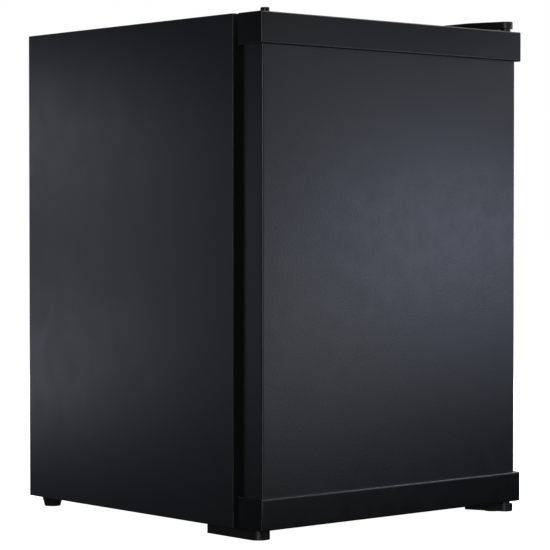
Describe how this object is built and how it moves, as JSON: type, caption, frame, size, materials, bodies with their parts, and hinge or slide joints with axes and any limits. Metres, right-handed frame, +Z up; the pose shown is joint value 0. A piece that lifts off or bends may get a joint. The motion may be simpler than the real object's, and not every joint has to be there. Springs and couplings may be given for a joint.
{
  "type": "mini fridge",
  "caption": "Compact single-door refrigerator with a recessed steel door between moulded end caps, a freezer box, glass shelves, door racks and a rear compressor bay.",
  "frame": {"origin": "on the floor under the middle of the whole appliance's box", "axes": "+Z up, -Y the door's front, +X the hinge side, the appliance's right seen from the front"},
  "size_m": [0.445, 0.475, 0.637],
  "materials": {
    "cabinet_paint": "satin",
    "door_paint": "satin",
    "cap_plastic": "satin",
    "bracket_paint": "satin",
    "hinge_cover_plastic": "matte",
    "galvanised_steel": "satin",
    "zinc_steel": "satin",
    "foam": "matte",
    "liner_plastic": "satin",
    "white_plastic": "satin",
    "clear_plastic": "gloss",
    "shelf_glass": "gloss",
    "copper": "satin",
    "rubber": "matte",
    "magnet": "matte",
    "compressor_paint": "gloss",
    "motor_iron": "matte",
    "evaporator_aluminium": "satin",
    "relay_plastic": "matte",
    "cable_sleeve": "matte",
    "rail_chrome": "polished",
    "foot_plastic": "matte"
  },
  "bodies": {
    "cabinet": {"outer_wrap": "cabinet_paint", "back_panel": "galvanised_steel", "base_pan": "cabinet_paint", "cabinet_foam": "foam", "inner_liner": "liner_plastic", "front_rail": "galvanised_steel", "left_condenser_tube": "copper", "right_condenser_tube": "copper", "compressor_plate": "galvanised_steel", "compressor_shell": "compressor_paint", "compressor_motor": "motor_iron", "motor_springs": "zinc_steel", "compressor_grommets": "rubber", "compressor_bolts": "zinc_steel", "relay_cover": "relay_plastic", "discharge_tube": "copper", "filter_drier": "copper", "capillary_tube": "copper", "suction_tube": "copper", "control_cable": "cable_sleeve", "cord_gland": "rubber", "rear_feet": "foot_plastic", "rear_foot_screws": "zinc_steel", "left_front_bracket": "bracket_paint", "lower_hinge_bracket": "bracket_paint", "lower_hinge_pin": "bracket_paint", "bracket_screws": "zinc_steel", "top_hinge_plate": "bracket_paint", "top_hinge_pin": "bracket_paint", "top_hinge_screws": "zinc_steel", "top_hinge_cover": "hinge_cover_plastic", "evaporator": "evaporator_aluminium", "evaporator_screws": "white_plastic", "freezer_frame": "white_plastic", "tray_runners": "white_plastic", "thermostat_housing": "white_plastic", "thermostat_body": "zinc_steel", "thermostat_bulb": "copper"},
    "door": {"door_skin": "door_paint", "door_top_cap": "cap_plastic", "door_bottom_cap": "cap_plastic", "door_foam": "foam", "door_liner": "liner_plastic", "door_gasket": "rubber", "gasket_magnets": "magnet", "hinge_bushes": "white_plastic", "hinge_hole_plug": "cap_plastic", "bottle_rail": "rail_chrome"},
    "freezer_flap": {"freezer_flap": "clear_plastic"},
    "drip_tray": {"drip_tray": "clear_plastic"},
    "upper_shelf": {"upper_shelf_glass": "shelf_glass", "upper_shelf_trim": "white_plastic"},
    "lower_shelf": {"lower_shelf_glass": "shelf_glass", "lower_shelf_trim": "white_plastic"},
    "thermostat_knob": {"thermostat_knob": "white_plastic"},
    "left_foot": {"left_foot": "foot_plastic"},
    "right_foot": {"right_foot": "foot_plastic"},
    "top_rack": {"top_rack": "clear_plastic"},
    "middle_rack": {"middle_rack": "clear_plastic"},
    "bottom_rack": {"bottom_rack": "clear_plastic"}
  },
  "joints": [
    {"name": "door_hinge", "type": "hinge", "parent": "cabinet", "child": "door", "pos_m": [0.206, -0.2245, 0.3185], "axis": [0, 0, 1], "range_deg": [0, 120]},
    {"name": "freezer_flap_hinge", "type": "hinge", "parent": "cabinet", "child": "freezer_flap", "pos_m": [-0.032, -0.0843, 0.4865], "axis": [1, 0, 0], "range_deg": [0, 90]},
    {"name": "drip_tray_slide", "type": "slide", "parent": "cabinet", "child": "drip_tray", "axis": [0, -1, 0], "range_m": [0, 0.085]},
    {"name": "upper_shelf_slide", "type": "slide", "parent": "cabinet", "child": "upper_shelf", "axis": [0, -1, 0], "range_m": [0, 0.085]},
    {"name": "lower_shelf_slide", "type": "slide", "parent": "cabinet", "child": "lower_shelf", "axis": [0, -1, 0], "range_m": [0, 0.085]},
    {"name": "thermostat_knob_turn", "type": "hinge", "parent": "cabinet", "child": "thermostat_knob", "pos_m": [0.155, -0.07, 0.531], "axis": [0, 1, 0], "range_deg": [0, 270]},
    {"name": "left_foot_turn", "type": "hinge", "parent": "cabinet", "child": "left_foot", "pos_m": [-0.201, -0.207, 0.005], "axis": [0, 0, 1], "continuous": true},
    {"name": "right_foot_turn", "type": "hinge", "parent": "cabinet", "child": "right_foot", "pos_m": [0.201, -0.207, 0.005], "axis": [0, 0, 1], "continuous": true},
    {"name": "top_rack_lift", "type": "slide", "parent": "door", "child": "top_rack", "axis": [0, 0, 1], "range_m": [0, 0.025]},
    {"name": "middle_rack_lift", "type": "slide", "parent": "door", "child": "middle_rack", "axis": [0, 0, 1], "range_m": [0, 0.025]},
    {"name": "bottom_rack_lift", "type": "slide", "parent": "door", "child": "bottom_rack", "axis": [0, 0, 1], "range_m": [0, 0.025]}
  ]
}
